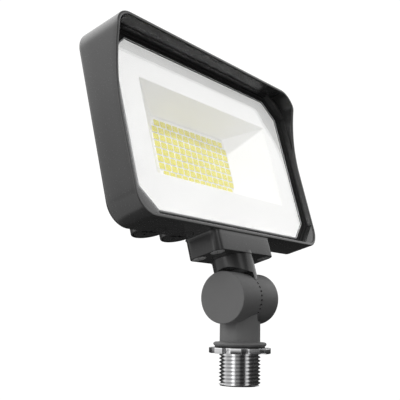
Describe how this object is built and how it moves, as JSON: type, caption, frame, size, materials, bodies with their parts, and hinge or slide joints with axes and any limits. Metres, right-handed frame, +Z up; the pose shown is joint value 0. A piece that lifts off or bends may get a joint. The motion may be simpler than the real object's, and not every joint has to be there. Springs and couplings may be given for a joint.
{
  "type": "led flood light",
  "caption": "Rectangular visored LED flood light with a toothed tilting knuckle, a threaded pipe nipple and locknut, and setting dials under screwdriver plugs.",
  "frame": {"origin": "on the axis of the pipe thread, level with the lower face of the locknut, where the free thread starts", "axes": "+Z up along the pipe thread, +X along the hinge axis to the right seen from the front, -Y the way the lamp faces"},
  "size_m": [0.1674, 0.0826, 0.1776],
  "materials": {
    "grey_coat": "fine textured powder coat",
    "zinc_steel": "bright zinc plate",
    "coated_steel": "dull grey plate",
    "black_rubber": "matte",
    "clear_glass": "polished",
    "reflector_white": "satin white",
    "board_white": "white solder mask on aluminium",
    "phosphor": "yellow phosphor resin",
    "thermal_pad": "soft matte",
    "lead_red": "smooth insulation",
    "circuit_green": "solder mask",
    "black_plastic": "moulded",
    "ferrite": "matte grey",
    "can_blue": "printed sleeve, plain",
    "copper_winding": "enamelled wire on a core",
    "white_plastic": "moulded",
    "dial_blue": "moulded"
  },
  "bodies": {
    "base": {"lower_knuckle": "grey_coat", "nipple": "zinc_steel", "flange_gasket": "black_rubber", "knuckle_bolt": "zinc_steel", "bolt_washer": "zinc_steel", "knuckle_seal": "black_rubber"},
    "locknut": {"locknut": "zinc_steel"},
    "head": {"upper_knuckle": "grey_coat", "block_gasket": "black_rubber", "block_screws": "coated_steel", "housing": "grey_coat", "lens": "clear_glass", "lens_seal": "black_rubber", "reflector": "reflector_white", "led_board": "board_white", "leds": "phosphor", "board_screws": "zinc_steel", "heat_pad": "thermal_pad", "lead_grommet": "black_rubber", "board_leads": "lead_red", "driver_tray": "black_plastic", "driver_board": "circuit_green", "transformer": "ferrite", "capacitors": "can_blue", "inductors": "copper_winding", "driver_screws": "zinc_steel", "cover_gasket": "black_rubber", "back_cover": "grey_coat", "cover_screws": "coated_steel", "breather": "black_plastic", "plug_seals": "black_rubber", "selector_board": "circuit_green", "wattage_switch": "white_plastic", "colour_switch": "white_plastic"},
    "wattage_plug": {"wattage_plug": "grey_coat"},
    "colour_plug": {"colour_plug": "grey_coat"},
    "wattage_dial": {"wattage_dial": "dial_blue"},
    "colour_dial": {"colour_dial": "dial_blue"}
  },
  "joints": [
    {"name": "head_tilt", "type": "hinge", "parent": "base", "child": "head", "pos_m": [0, 0, 0.02765], "axis": [1, 0, 0], "range_deg": [-59, 90]},
    {"name": "locknut_turn", "type": "hinge", "parent": "base", "child": "locknut", "pos_m": [0, 0, 0], "axis": [0, 0, 1], "continuous": true},
    {"name": "wattage_plug_turn", "type": "hinge", "parent": "head", "child": "wattage_plug", "pos_m": [-0.0572, 0.01418, 0.05794], "axis": [0, 0.2706, 0.9627], "continuous": true},
    {"name": "colour_plug_turn", "type": "hinge", "parent": "head", "child": "colour_plug", "pos_m": [-0.0355, 0.01418, 0.05794], "axis": [0, 0.2706, 0.9627], "continuous": true},
    {"name": "wattage_dial_turn", "type": "hinge", "parent": "head", "child": "wattage_dial", "pos_m": [-0.0572, 0.01191, 0.06263], "axis": [0, 0.2706, 0.9627], "range_deg": [-60, 60]},
    {"name": "colour_dial_turn", "type": "hinge", "parent": "head", "child": "colour_dial", "pos_m": [-0.0355, 0.01191, 0.06263], "axis": [0, 0.2706, 0.9627], "range_deg": [-60, 60]}
  ]
}
